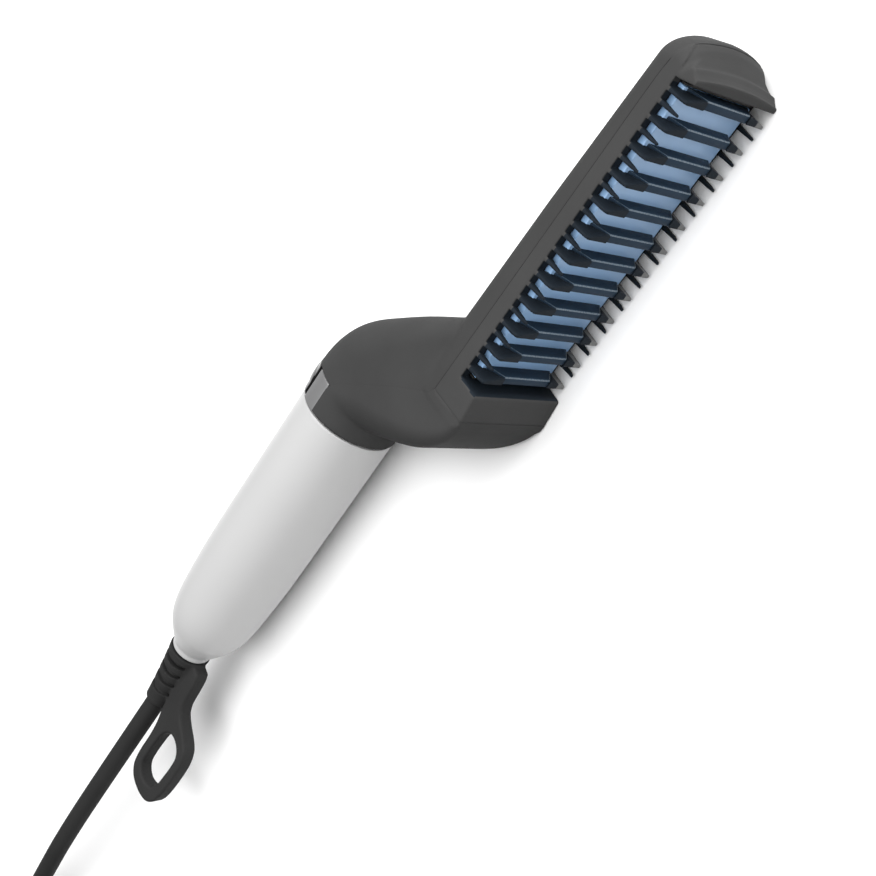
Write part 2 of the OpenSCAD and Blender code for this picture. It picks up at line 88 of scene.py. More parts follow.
# ---------------------------------------------------------------- materials
def material(name, colour, rough, metal=0.0, coat=0.0, coat_rough=0.1, spec=0.5, shade=0.12, blotch=60.0,
             grain=2600.0, grain_depth=0.02, rough_vary=0.08, scratch=0.0, sheen=0.0, dirt=0.0):
    """Principled surface with slow colour variation, a fine moulded grain in bump and roughness, and optional hairline scratches."""
    m = bpy.data.materials.new(name)
    m.use_nodes = True
    nt = m.node_tree
    nt.nodes.clear()
    out = nt.nodes.new("ShaderNodeOutputMaterial")
    b = nt.nodes.new("ShaderNodeBsdfPrincipled")
    nt.links.new(b.outputs[0], out.inputs[0])
    b.inputs["Metallic"].default_value = metal
    b.inputs["Specular IOR Level"].default_value = spec
    b.inputs["Coat Weight"].default_value = coat
    b.inputs["Coat Roughness"].default_value = coat_rough
    b.inputs["Sheen Weight"].default_value = sheen
    tc = nt.nodes.new("ShaderNodeTexCoord")

    slow = nt.nodes.new("ShaderNodeTexNoise")
    slow.inputs["Scale"].default_value = blotch
    slow.inputs["Detail"].default_value = 4.0
    nt.links.new(tc.outputs["Object"], slow.inputs["Vector"])
    ramp = nt.nodes.new("ShaderNodeValToRGB")
    c = np.array(colour, float)
    lo, hi = c * (1 - shade), c * (1 + shade)
    ramp.color_ramp.elements[0].position = 0.3
    ramp.color_ramp.elements[1].position = 0.7
    ramp.color_ramp.elements[0].color = (*np.clip(lo, 0, 1), 1)
    ramp.color_ramp.elements[1].color = (*np.clip(hi, 0, 1), 1)
    nt.links.new(slow.outputs["Fac"], ramp.inputs["Fac"])
    nt.links.new(ramp.outputs["Color"], b.inputs["Base Color"])

    fine = nt.nodes.new("ShaderNodeTexNoise")
    fine.inputs["Scale"].default_value = grain
    fine.inputs["Detail"].default_value = 3.0
    fine.inputs["Roughness"].default_value = 0.6
    nt.links.new(tc.outputs["Object"], fine.inputs["Vector"])
    mr = nt.nodes.new("ShaderNodeMapRange")
    mr.inputs["From Min"].default_value = 0.3
    mr.inputs["From Max"].default_value = 0.7
    mr.inputs["To Min"].default_value = max(0.02, rough - rough_vary)
    mr.inputs["To Max"].default_value = min(1.0, rough + rough_vary)
    nt.links.new(fine.outputs["Fac"], mr.inputs["Value"])
    nt.links.new(mr.outputs["Result"], b.inputs["Roughness"])

    height = fine.outputs["Fac"]
    if scratch:
        stretch = nt.nodes.new("ShaderNodeMapping")
        stretch.inputs["Scale"].default_value = (40.0, 2600.0, 900.0)
        nt.links.new(tc.outputs["Object"], stretch.inputs["Vector"])
        lines = nt.nodes.new("ShaderNodeTexNoise")
        lines.inputs["Scale"].default_value = 1.0
        lines.inputs["Detail"].default_value = 2.0
        nt.links.new(stretch.outputs[0], lines.inputs["Vector"])
        add = nt.nodes.new("ShaderNodeMath")
        add.operation = "MULTIPLY_ADD"
        nt.links.new(lines.outputs["Fac"], add.inputs[0])
        add.inputs[1].default_value = scratch
        nt.links.new(fine.outputs["Fac"], add.inputs[2])
        height = add.outputs[0]
    bump = nt.nodes.new("ShaderNodeBump")
    bump.inputs["Strength"].default_value = 0.6
    bump.inputs["Distance"].default_value = grain_depth / 1000.0
    nt.links.new(height, bump.inputs["Height"])
    nt.links.new(bump.outputs["Normal"], b.inputs["Normal"])
    return m


MAT = {
    "handle_white": material("handle_white", (0.445, 0.445, 0.445), 0.34, spec=0.3, shade=0.015, blotch=25, grain=1800, grain_depth=0.006, rough_vary=0.04),
    "housing_dark": material("housing_dark", (0.045, 0.045, 0.045), 0.56, spec=0.01, shade=0.06, grain=3200, grain_depth=0.016, rough_vary=0.05),
    "guard_dark": material("guard_dark", (0.048, 0.048, 0.048), 0.52, spec=0.01, shade=0.06, grain=3200, grain_depth=0.014, rough_vary=0.05),
    "plate_blue": material("plate_blue", (0.275, 0.45, 0.70), 0.34, spec=0.5, shade=0.05, grain=2400, grain_depth=0.006, rough_vary=0.06, scratch=0.6),
    "blade_blue": material("blade_blue", (0.017, 0.030, 0.048), 0.36, spec=0.03, shade=0.10, grain=2400, grain_depth=0.006, rough_vary=0.06),
    # black teeth; the same material is painted shade on the inner faces and heel wall of the guard
    "tooth_black": material("tooth_black", (0.013, 0.017, 0.022), 0.40, spec=0.02, shade=0.06, grain=3200, grain_depth=0.01, rough_vary=0.05),
    # painted light: paler material for the lit outer ends of the far wide teeth
    "tooth_grey": material("tooth_grey", (0.14, 0.142, 0.14), 0.45, spec=0.1, shade=0.1, grain=3200, grain_depth=0.01),
    # painted highlight for the forward upper edge of the blades
    "blade_edge": material("blade_edge", (0.060, 0.090, 0.120), 0.28, spec=0.5, shade=0.15, grain=2400, grain_depth=0.005),
    # painted shade: the carrier is coloured near black so that it reads dark through the slots of the guard
    "carrier_brown": material("carrier_brown", (0.012, 0.011, 0.010), 0.55),
    "film_amber": material("film_amber", (0.55, 0.26, 0.03), 0.22, shade=0.05, grain_depth=0.004),
    "brass": material("brass", (0.74, 0.55, 0.22), 0.25, metal=1.0, shade=0.05, scratch=0.7, grain_depth=0.004),
    "ceramic_grey": material("ceramic_grey", (0.12, 0.11, 0.10), 0.7, grain=1400, grain_depth=0.05),
    "spring_steel": material("spring_steel", (0.55, 0.55, 0.56), 0.28, metal=1.0, shade=0.04, scratch=1.0, grain_depth=0.004),
    "fuse_body": material("fuse_body", (0.62, 0.56, 0.42), 0.45),
    "black_plastic": material("black_plastic", (0.02, 0.02, 0.02), 0.45),
    "wire_red": material("wire_red", (0.42, 0.02, 0.015), 0.35, shade=0.05, grain_depth=0.006),
    "wire_white": material("wire_white", (0.68, 0.68, 0.62), 0.35, shade=0.04, grain_depth=0.006),
    "wire_blue": material("wire_blue", (0.02, 0.07, 0.35), 0.35, shade=0.05, grain_depth=0.006),
    "pcb_green": material("pcb_green", (0.012, 0.10, 0.03), 0.3, shade=0.15, blotch=240, grain_depth=0.01),
    "cap_yellow": material("cap_yellow", (0.66, 0.40, 0.03), 0.35, shade=0.05, grain_depth=0.006),
    "resistor_tan": material("resistor_tan", (0.45, 0.31, 0.16), 0.4, shade=0.08),
    "led_red": material("led_red", (0.70, 0.05, 0.02), 0.12, shade=0.04, grain_depth=0.002),
    "panel_silver": material("panel_silver", (0.19, 0.19, 0.192), 0.40, metal=0.3, spec=0.3, shade=0.03, grain=2800, grain_depth=0.006, rough_vary=0.05),
    "button_gloss": material("button_gloss", (0.004, 0.004, 0.004), 0.13, spec=0.18, shade=0.05, grain=900, grain_depth=0.001, rough_vary=0.02),
    "screw_steel": material("screw_steel", (0.20, 0.20, 0.205), 0.38, metal=1.0, shade=0.06, scratch=0.8, grain_depth=0.006),
    "nylon": material("nylon", (0.70, 0.68, 0.60), 0.45, shade=0.04),
    "rubber_dark": material("rubber_dark", (0.027, 0.027, 0.027), 0.64, spec=0.05, shade=0.08, grain=2200, grain_depth=0.03, rough_vary=0.06),
    "cord_dark": material("cord_dark", (0.024, 0.024, 0.024), 0.62, spec=0.05, shade=0.08, grain=2000, grain_depth=0.02, rough_vary=0.06),
    "plug_black": material("plug_black", (0.020, 0.020, 0.020), 0.42, shade=0.08, grain=2200, grain_depth=0.02),
    "pin_nickel": material("pin_nickel", (0.66, 0.65, 0.62), 0.16, metal=1.0, shade=0.03, scratch=0.6, grain_depth=0.003),
}
for node, ob in CAD.items():
    slot = next((s["material_slot"] for s in frame["record"]["subparts"] if s["node"] == node), None)
    if slot in MAT:
        ob.data.materials.clear()
        ob.data.materials.append(MAT[slot])


# ---------------------------------------------------------------- mesh helpers
def make_object(name, verts, faces, mat, body=None, node=None, smooth=True, sharp=None):
    """verts in local millimetres; faces a list of tuples, or an array of quads or triangles."""
    me = bpy.data.meshes.new(name)
    v = row(verts)
    if isinstance(faces, np.ndarray):
        n, k = faces.shape
        me.vertices.add(len(v))
        me.vertices.foreach_set("co", v.astype(np.float32).ravel())
        me.loops.add(n * k)
        me.loops.foreach_set("vertex_index", faces.astype(np.int32).ravel())
        me.polygons.add(n)
        me.polygons.foreach_set("loop_start", np.arange(0, n * k, k, dtype=np.int32))
        me.update(calc_edges=True)
    else:
        me.from_pydata([tuple(p) for p in v], [], [tuple(int(i) for i in f) for f in faces])
    me.validate()
    me.update()
    if smooth:
        me.polygons.foreach_set("use_smooth", np.ones(len(me.polygons), bool))
        if sharp is not None:
            me.set_sharp_from_angle(angle=math.radians(sharp))
    ob = bpy.data.objects.new(name, me)
    bpy.context.scene.collection.objects.link(ob)
    me.materials.append(MAT[mat])
    if body:
        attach(ob, body)
    if node:
        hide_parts(*([node] if isinstance(node, str) else node))
    return ob


def tidy(ob):
    """Consistent outward normals."""
    bm = bmesh.new()
    bm.from_mesh(ob.data)
    bmesh.ops.recalc_face_normals(bm, faces=bm.faces)
    bm.to_mesh(ob.data)
    bm.free()


def hermite(xs, ys, x):
    """Monotone cubic through (xs, ys), evaluated at x; ys may have columns."""
    xs = np.asarray(xs, float)
    ys = np.asarray(ys, float)
    one = ys.ndim == 1
    if one:
        ys = ys[:, None]
    h = np.diff(xs)[:, None]
    d = np.diff(ys, axis=0) / h
    m = np.zeros_like(ys)
    m[0], m[-1] = d[0], d[-1]
    w1, w2 = 2 * h[1:] + h[:-1], h[1:] + 2 * h[:-1]
    with np.errstate(divide="ignore", invalid="ignore"):
        inner = (w1 + w2) / (w1 / d[:-1] + w2 / d[1:])
    m[1:-1] = np.where(d[:-1] * d[1:] > 0, inner, 0.0)
    x = np.atleast_1d(np.asarray(x, float))
    i = np.clip(np.searchsorted(xs, x) - 1, 0, len(xs) - 2)
    t = ((x - xs[i]) / h[i, 0])[:, None]
    H = h[i]
    r = ((1 + 2 * t) * (1 - t) ** 2 * ys[i] + t * (1 - t) ** 2 * H * m[i]
         + t * t * (3 - 2 * t) * ys[i + 1] + t * t * (t - 1) * H * m[i + 1])
    return r[:, 0] if one else r


def catmull(P, n):
    """Smooth curve through points, n steps in each span."""
    P = np.asarray(P, float)
    out = []
    for i in range(len(P) - 1):
        p0, p1, p2, p3 = P[max(i - 1, 0)], P[i], P[i + 1], P[min(i + 2, len(P) - 1)]
        for j in range(n):
            t = j / n
            out.append(0.5 * (2 * p1 + (p2 - p0) * t + (2 * p0 - 5 * p1 + 4 * p2 - p3) * t * t + (3 * p1 - p0 - 3 * p2 + p3) * t ** 3))
    out.append(P[-1])
    return np.array(out)


def lathe(profile, seg, y=HY, z=0.0):
    """Closed loop of (x, r) points turned about the line y, z along x. Returns verts, quads."""
    p = np.asarray(profile, float)
    a = np.linspace(0, 2 * np.pi, seg, endpoint=False)
    V = np.stack([np.repeat(p[:, 0], seg),
                  y + (p[:, 1][:, None] * np.cos(a)).ravel(),
                  z + (p[:, 1][:, None] * np.sin(a)).ravel()], 1)
    n = len(p)
    F = []
    i, j = np.meshgrid(np.arange(n), np.arange(seg), indexing="ij")
    i2, j2 = (i + 1) % n, (j + 1) % seg
    F = np.stack([i * seg + j, i * seg + j2, i2 * seg + j2, i2 * seg + j], -1).reshape(-1, 4)
    return V, F


# ---------------------------------------------------------------- cord, coil, tie and plug
ROUTE = [[-158, 33.2, 0], [-176, 33.2, 0], [-200, 33.2, 0], [-222, 33.2, -0.2], [-240, 33.3, -1], [-256, 33.9, -3],
         [-270, 35.6, -6], [-284, 38.8, -9.4], [-297, 43, -11.8], [-310, 47, -12.6], [-322, 48.5, -12.6]]
COIL = (-322.0, 8.4)
CORD_R = 3.0
PLUG = np.array([COIL[0] - 32.8, COIL[1] + 5, 25.3 - HW])
CLIMB = [[40, 26.9, 15.2], [54, 26.9, 15.4], [68, 27.0, 16.6], [82, 27.3, 18.4], [96, 28.3, 20.3], [110, 29.8, 22.1],
         [124, 31.5, 23.5], [138, 32.7, 24.5], [152, 33.2, 25.05], [165, 33.2, 25.3]]


def step(t):
    t = min(max(t, 0.0), 1.0)
    return t * t * (3 - 2 * t)


def cord_line():
    pts = [np.array(p, float) for p in catmull(ROUTE[:-2] + [[-309, 46.2, -12.55]], 4)[:-1]]
    radii = [39.1, 33.0, 26.9, 26.9, 33.0, 39.1, 39.1, 33.0, 26.9]
    highs = [3.0, 3.0, 3.0, 9.08, 9.08, 9.08, 15.16, 15.16, 15.2]
    turn, steps = [], 24
    last = 90 + 360 * 8 - 50
    a = 72.0
    while a < last - 1:
        k = int(max(a - 90.0, 0) // 360)
        f = max(a - 90.0, 0) - 360 * k
        lo, hi = (250.0, 310.0) if k == 7 else (308.0, 360.0)
        s = step((f - lo) / (hi - lo))
        r = radii[k] + (radii[k + 1] - radii[k]) * s
        z = highs[k] + (highs[k + 1] - highs[k]) * s
        if a < 90:
            r = math.hypot(0, 39.1) / max(math.sin(math.radians(a)), 0.5)
            r = 39.1 / math.sin(math.radians(a))
        t = math.radians(a)
        turn.append(np.array([COIL[0] + r * math.cos(t), COIL[1] + r * math.sin(t), z - HW]))
        a += 360 / steps
    climb = [np.array([COIL[0] + r * math.cos(math.radians(a)), COIL[1] + r * math.sin(math.radians(a)), z - HW]) for a, r, z in CLIMB]
    return np.array(pts + turn + climb + [PLUG + [0, 0.6, 0], PLUG + [0, -2.0, 0]])


def curve_object(name, pts, radius, mat, resolution=10, poly=False):
    cu = bpy.data.curves.new(name, "CURVE")
    cu.dimensions = "3D"
    cu.twist_mode = "MINIMUM"
    cu.bevel_depth = radius / 1000.0
    cu.bevel_resolution = resolution
    cu.use_fill_caps = True
    sp = cu.splines.new("POLY" if poly else "BEZIER")
    v = row(pts)
    if poly:
        sp.points.add(len(v) - 1)
        for i, p in enumerate(v):
            sp.points[i].co = (*p, 1)
    else:
        sp.bezier_points.add(len(v) - 1)
        for i, p in enumerate(v):
            b = sp.bezier_points[i]
            b.co = p
            before, after = v[max(i - 1, 0)], v[min(i + 1, len(v) - 1)]
            d = after - before
            d /= np.linalg.norm(d)
            b.handle_left_type = b.handle_right_type = "FREE"
            b.handle_left = p - d * np.linalg.norm(p - before) / 3
            b.handle_right = p + d * np.linalg.norm(after - p) / 3
        cu.resolution_u = 6
    ob = bpy.data.objects.new(name, cu)
    bpy.context.scene.collection.objects.link(ob)
    cu.materials.append(MAT[mat])
    return ob


CORD_PTS = cord_line()
cord = curve_object("cord", CORD_PTS, CORD_R, "cord_dark", resolution=7)
cord.name = "mains_cord"
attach(cord, "cord_set")
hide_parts("cord", "cord_coil", "cord_tail")


def tie():
    """Flat strap round the coil: a closed band with a rounded section."""
    cx, cy = COIL[0], COIL[1] - 33.0
    hy_, z0, z1 = 9.65, 0.25, 18.75
    path = []
    r = 3.0
    corners = [(-hy_, z0), (hy_, z0), (hy_, z1), (-hy_, z1)]
    for i, (u, w) in enumerate(corners):
        su, sw = (1 if u < 0 else -1), (1 if w < 5 else -1)
        c = (u + su * r, w + sw * r)
        a0 = {0: 180, 1: 270, 2: 0, 3: 90}[i]
        for a in range(a0, a0 + 91, 15):
            path.append((c[0] + r * math.cos(math.radians(a)), c[1] + r * math.sin(math.radians(a))))
    path = np.array(path)
    n = len(path)
    nxt, prv = np.roll(path, -1, 0), np.roll(path, 1, 0)
    tang = nxt - prv
    tang /= np.linalg.norm(tang, axis=1)[:, None]
    outn = np.stack([tang[:, 1], -tang[:, 0]], 1)
    sect = [(-4.2, -0.2), (-3.9, -0.45), (3.9, -0.45), (4.2, -0.2), (4.2, 0.0), (3.9, 0.22), (1.6, 0.3), (-1.6, 0.3), (-3.9, 0.22), (-4.2, 0.0)]
    V, F = [], []
    for i in range(n):
        for sx, so in sect:
            q = path[i] + outn[i] * so
            V.append((cx + sx, cy + q[0], q[1] - HW))
    m = len(sect)
    for i in range(n):
        for j in range(m):
            F.append((i * m + j, i * m + (j + 1) % m, ((i + 1) % n) * m + (j + 1) % m, ((i + 1) % n) * m + j))
    ob = make_object("cord_strap", V, F, "black_plastic", "cord_set", "cord_tie")
    tidy(ob)
    return ob


strap = tie()


def rounded_poly(points, r, n=4):
    """Outline with its corners rounded."""
    P = np.asarray(points, float)
    out = []
    for i in range(len(P)):
        a, b, c = P[i - 1], P[i], P[(i + 1) % len(P)]
        u, v = (a - b), (c - b)
        lu, lv = np.linalg.norm(u), np.linalg.norm(v)
        u, v = u / lu, v / lv
        d = min(r, 0.45 * lu, 0.45 * lv)
        p0, p2 = b + u * d, b + v * d
        for k in range(n + 1):
            t = k / n
            out.append((1 - t) ** 2 * p0 + 2 * t * (1 - t) * b + t * t * p2)
    return np.array(out)


def plug():
    """Moulded two-pin plug: finger-shaped body with a grooved relief, lying on the coil."""
    # sections along the plug's axis: distance, half width, half height, squareness
    S = [(0, 3.4, 3.4, 2), (0.4, 3.9, 3.9, 2), (3.2, 4.2, 4.2, 2), (3.5, 3.6, 3.6, 2), (4.7, 3.6, 3.6, 2), (5.0, 4.5, 4.5, 2), (7.2, 4.7, 4.7, 2),
         (7.5, 4.0, 4.0, 2), (8.7, 4.0, 4.0, 2), (9.0, 5.0, 5.0, 2), (11.2, 5.3, 5.3, 2.1), (13.5, 6.0, 6.0, 2.4), (16, 6.8, 6.6, 2.8), (19, 8.2, 6.9, 3.2),
         (22.6, 10.4, 7.0, 3.8), (26.2, 12.0, 7.0, 4.2), (29.2, 12.6, 7.0, 4.6), (33.6, 12.8, 7.0, 5.0), (34.5, 12.6, 6.8, 5.0), (35.0, 12.1, 6.3, 5.0)]
    n = 48
    V = []
    for s, a, b, q in S:
        for j in range(n):
            f = 2 * math.pi * j / n
            c, d = math.cos(f), math.sin(f)
            V.append((PLUG[0] + math.copysign(abs(c) ** (2 / q), c) * a, PLUG[1] - s, PLUG[2] + math.copysign(abs(d) ** (2 / q), d) * b))
    F = []
    for i in range(len(S) - 1):
        for j in range(n):
            F.append((i * n + j, i * n + (j + 1) % n, (i + 1) * n + (j + 1) % n, (i + 1) * n + j))
    F.append(tuple(range(n))[::-1])
    F.append(tuple((len(S) - 1) * n + j for j in range(n)))
    ob = make_object("plug_housing", V, F, "plug_black", "cord_set", "plug_body", sharp=40)
    tidy(ob)
    V, F = [], []
    for s in (-1, 1):
        base = len(V)
        prof = [(28.9, 0.0), (28.9, 1.9), (34.9, 1.9), (35.0, 1.98), (52.6, 1.98), (53.5, 1.6), (54.0, 0.8), (54.0, 0.0)]
        for d, r in prof:
            for j in range(32):
                f = 2 * math.pi * j / 32
                V.append((PLUG[0] + 9.3 * s + max(r, 0.01) * math.cos(f), PLUG[1] - d, PLUG[2] + max(r, 0.01) * math.sin(f)))
        for i in range(len(prof) - 1):
            for j in range(32):
                F.append((base + i * 32 + j, base + i * 32 + (j + 1) % 32, base + (i + 1) * 32 + (j + 1) % 32, base + (i + 1) * 32 + j))
        F.append(tuple(base + j for j in range(32))[::-1])
        F.append(tuple(base + (len(prof) - 1) * 32 + j for j in range(32)))
    pins = make_object("plug_contacts", V, F, "pin_nickel", "cord_set", "plug_pins", sharp=35)
    tidy(pins)
    return ob, pins


plug_ob, pins_ob = plug()


# ---------------------------------------------------------------- solid modelling on distance fields
def seam_width(x, y):
    """Half width of the groove between mouldings: a hairline down the neck, wider along the guard, fading at the tip and under the heel."""
    along = 1 / (1 + np.exp(-(x + 13.5) / 0.8))
    fade = np.clip((84.0 - x) / 12.0, 0.0, 1) * np.where(x < 0, np.clip((y + 4.0) / 5.0, 0.0, 1), 1)
    return 0.12 + (0.27 * fade - 0.10 * (1 - fade)) * along


def rmax(a, b, r):
    """Intersection of two fields with the edge rounded to radius r."""
    return np.minimum(np.maximum(a, b), -r) + np.hypot(np.maximum(a + r, 0), np.maximum(b + r, 0))


def rmin(a, b, r):
    """Union of two fields with the corner filled to radius r."""
    return np.maximum(np.minimum(a, b), r) - np.hypot(np.maximum(r - a, 0), np.maximum(r - b, 0))


def surface(field, lo, hi, h, rounds=4):
    """Quad mesh of field = 0 inside the box, by surface nets with its points moved on to the surface."""
    lo = np.asarray(lo, float)
    n = np.ceil((np.asarray(hi, float) - lo) / h).astype(int) + 1
    ax = [lo[i] + h * np.arange(n[i]) for i in range(3)]
    D = np.empty(n, np.float32)
    for s in range(0, n[0], 32):
        e = min(s + 32, n[0])
        X, Y, Z = np.meshgrid(ax[0][s:e], ax[1], ax[2], indexing="ij")
        D[s:e] = field(X.ravel(), Y.ravel(), Z.ravel()).reshape(X.shape)
    inside = D < 0
    corner = [inside[a:n[0] - 1 + a, b:n[1] - 1 + b, c:n[2] - 1 + c] for a in (0, 1) for b in (0, 1) for c in (0, 1)]
    total = sum(c.astype(np.int8) for c in corner)
    cell = (total > 0) & (total < 8)
    idx = -np.ones(cell.shape, np.int64)
    ci = np.argwhere(cell)
    idx[cell] = np.arange(len(ci))
    acc = np.zeros((len(ci), 3))
    cnt = np.zeros(len(ci))
    for axis in range(3):
        o = [k for k in range(3) if k != axis]
        for u in (0, 1):
            for v in (0, 1):
                a = ci.copy()
                a[:, o[0]] += u
                a[:, o[1]] += v
                b = a.copy()
                b[:, axis] += 1
                da, db = D[a[:, 0], a[:, 1], a[:, 2]], D[b[:, 0], b[:, 1], b[:, 2]]
                cross = (da < 0) != (db < 0)
                t = np.where(cross, da / np.where(cross, da - db, 1), 0)
                p = a + (b - a) * t[:, None]
                acc[cross] += p[cross]
                cnt[cross] += 1
    P = lo + h * acc / cnt[:, None]
    quads = []
    for axis in range(3):
        o = [k for k in range(3) if k != axis]
        sl_a = [slice(None)] * 3
        sl_b = [slice(None)] * 3
        sl_a[axis] = slice(0, -1)
        sl_b[axis] = slice(1, None)
        a, b = inside[tuple(sl_a)], inside[tuple(sl_b)]
        ch = np.argwhere(a != b)
        keep = (ch[:, o[0]] > 0) & (ch[:, o[1]] > 0) & (ch[:, o[0]] < n[o[0]] - 1) & (ch[:, o[1]] < n[o[1]] - 1)
        ch = ch[keep]
        c = []
        for u, v in ((-1, -1), (0, -1), (0, 0), (-1, 0)):
            q = ch.copy()
            q[:, o[0]] += u
            q[:, o[1]] += v
            c.append(idx[q[:, 0], q[:, 1], q[:, 2]])
        q = np.stack(c, 1)
        first = a[ch[:, 0], ch[:, 1], ch[:, 2]]
        flip = first if axis != 1 else ~first
        q[~flip] = q[~flip][:, ::-1]
        quads.append(q)
    Q = np.concatenate(quads)
    P = settle(field, P, h, rounds)
    return P, Q


def gradient(field, P, e=0.02):
    g = np.empty_like(P)
    for k in range(3):
        A, B = P.copy(), P.copy()
        A[:, k] += e
        B[:, k] -= e
        g[:, k] = (field(*A.T) - field(*B.T)) / (2 * e)
    return g


def settle(field, P, h, rounds=3):
    for _ in range(rounds):
        g = gradient(field, P)
        d = field(*P.T)
        s = -d / np.maximum((g * g).sum(1), 0.05)
        s = np.clip(s, -0.6 * h, 0.6 * h)
        P = P + g * s[:, None]
    return P


# Sections of the neck: underside point, back point, half width, corner radius below, corner radius above
NECK = [
    [-46.2, 19.3, -46.2, 47.1, 13.9, 13.9, 13.9],
    [-42.6, 19.3, -41.0, 47.1, 13.9, 13.9, 13.9],
    [-41.2, 19.5, -35.5, 46.9, 13.9, 13.4, 13.8],
    [-40.2, 18.2, -30.5, 45.8, 13.95, 12.6, 13.2],
    [-39.0, 16.5, -26.0, 43.9, 14.0, 11.6, 12.4],
    [-37.5, 14.5, -21.8, 41.2, 14.2, 10.4, 11.4],
    [-35.5, 11.7, -17.2, 37.2, 14.5, 9.0, 10.4],
    [-32.9, 8.1, -12.6, 32.3, 14.8, 7.6, 9.4],
    [-29.8, 4.0, -8.0, 27.3, 15.1, 6.2, 8.4],
    [-26.6, 0.4, -3.6, 22.3, 15.3, 5.0, 7.4],
    [-22.8, -2.9, 0.4, 17.4, 15.45, 3.8, 6.4],
    [-18.0, -5.7, 4.2, 12.7, 15.5, 2.6, 5.6],
    [-12.6, -7.1, 8.0, 8.6, 15.55, 1.6, 5.0],
    [-4.0, -7.2, 11.6, 5.0, 15.4, 1.0, 5.0],
    [4.0, -7.2, 15.2, 1.4, 15.2, 1.0, 5.0],
]


def neck_table():
    K = np.array(NECK)
    T = np.linspace(0, len(K) - 1, 600)
    A = hermite(np.arange(len(K)), K, T)
    w = np.exp(-0.5 * (np.arange(-24, 25) / 9.0) ** 2)
    w /= w.sum()
    pad = np.vstack([2 * A[0] - A[24:0:-1], A, 2 * A[-1] - A[-2:-26:-1]])
    B = np.stack([np.convolve(pad[:, c], w, "valid") for c in range(A.shape[1])], 1)
    return T, B


NT, NB = neck_table()


def neck_param(x, y):
    """Section number of each point: the section line that passes through it, by bisection."""
    lo = np.zeros_like(x)
    hi = np.full_like(x, NT[-1])
    for _ in range(18):
        m = 0.5 * (lo + hi)
        ux, uy = np.interp(m, NT, NB[:, 0]), np.interp(m, NT, NB[:, 1])
        bx, by = np.interp(m, NT, NB[:, 2]), np.interp(m, NT, NB[:, 3])
        c = (bx - ux) * (y - uy) - (by - uy) * (x - ux)
        ahead = c < 0
        lo = np.where(ahead, m, lo)
        hi = np.where(ahead, hi, m)
    return 0.5 * (lo + hi)


def neck_field(x, y, z, t=None):
    if t is None:
        t = neck_param(x, y)
    c = [np.interp(t, NT, NB[:, k]) for k in range(7)]
    mx, my = (c[0] + c[2]) / 2, (c[1] + c[3]) / 2
    dx, dy = c[2] - c[0], c[3] - c[1]
    L = np.hypot(dx, dy)
    s = ((x - mx) * dx + (y - my) * dy) / L
    half = L / 2
    r = np.where(s > 0, c[6], c[5])
    blend = np.clip(0.5 + s / (0.5 * half), 0, 1)
    blend = blend * blend * (3 - 2 * blend)
    r = c[5] + (c[6] - c[5]) * blend
    r = np.minimum(r, np.minimum(half, c[4]))
    # shallow hollow where the side of the neck meets the back corner of the head
    fade = np.clip((x + 11.0) / 9.0, 0, 1)
    hollow = 0.6 * np.exp(-((y - 8.8) / 1.9) ** 2) * fade * fade * (3 - 2 * fade)
    w = c[4] - hollow
    qx, qz = np.abs(s) - half + r, np.abs(z) - w + r
    d = np.minimum(np.maximum(qx, qz), 0) + np.hypot(np.maximum(qx, 0), np.maximum(qz, 0)) - r
    return np.maximum(d, -46.2 - x)


def crown(x, z):
    """Back of the head: nearly flat across at the neck, more crowned towards the tip."""
    return 12.35 - np.interp(x, [6, 40, 70, 80, 90], [0.0066, 0.0092, 0.0145, 0.0165, 0.019]) * z * z


def tip_field(x, y, z):
    """Rounded end of the head: it leans back above and below its furthest line, and bulges in plan."""
    xe = np.interp(y, [-8, -4.3, -3.4, -2.6, -1.8, -1.0, 0, 1, 2.5, 4.0, 12.5],
                   [82.9, 82.9, 83.5, 84.2, 84.5, 85.3, 86.3, 87.4, 88.5, 88.3, 85.3])
    xe = xe - z * z * np.interp(y, [-2.4, -1.2, 2.5], [1 / 185.0, 1 / 115.0, 1 / 72.0])
    return (x - xe) * 0.93


def corner_radius(y):
    """Upright corners of the tip: tighter towards the lip."""
    t = np.clip((0.2 - y) / 2.3, 0, 1)
    return 4.0 - 3.5 * t * t * (3 - 2 * t)


def head_field(x, y, z):
    d = rmax(np.abs(z) - HW, y - crown(x, z), 4.6)
    d = rmax(d, tip_field(x, y, z), corner_radius(y))
    d = np.maximum(d, -14.0 - x)
    return rmax(d, -7.2 - y, 0.8)


def envelope(x, y, z):
    """Outside of the housings together, without the openings of the comb side."""
    n = neck_field(x, y, z)
    h = head_field(x, y, z)
    k = 1.1 * np.clip((HW + 0.2 - np.abs(z)) / 4.5, 0.02, 1)
    k = k * np.clip((y - 4.0) / 4.0, 0.02, 1)
    return rmin(n, h, k)


# ---- parting lines
SEAM = np.array([[-60, HY], [-38.2, HY], [-36.6, 32.6], [-34.6, 30.9], [-26.2, 21.4], [-19.5, 13.5], [-13.3, 5.0], [-11.3, 4.3]])


def part_y(x):
    """Height of the line between guard and rear housing."""
    return hermite([-60, -11.3, 60, 70, 75.5, 80.6, 83.4, 86.1, 92], [4.25, 4.25, 4.25, 4.25, 4.2, 3.9, 3.4, 2.6, 0.6], x)


def seam_distance(x, y):
    """Positive behind the line between the two housings and behind the guard, in the side view."""
    best = np.full(x.shape, 1e9)
    sign = np.ones(x.shape)
    line = [tuple(p) for p in SEAM]
    for (x0, y0), (x1, y1) in zip(line[:-1], line[1:]):
        dx, dy = x1 - x0, y1 - y0
        t = np.clip(((x - x0) * dx + (y - y0) * dy) / (dx * dx + dy * dy), 0, 1)
        ex, ey = x - x0 - t * dx, y - y0 - t * dy
        d = np.hypot(ex, ey)
        side = np.where(dx * ey - dy * ex >= 0, 1.0, -1.0)
        nearer = d < best - 1e-9
        best = np.where(nearer, d, best)
        sign = np.where(nearer, side, sign)
    d1 = best * sign
    g = y - part_y(x)
    return np.where(x > -11.3, g, d1)


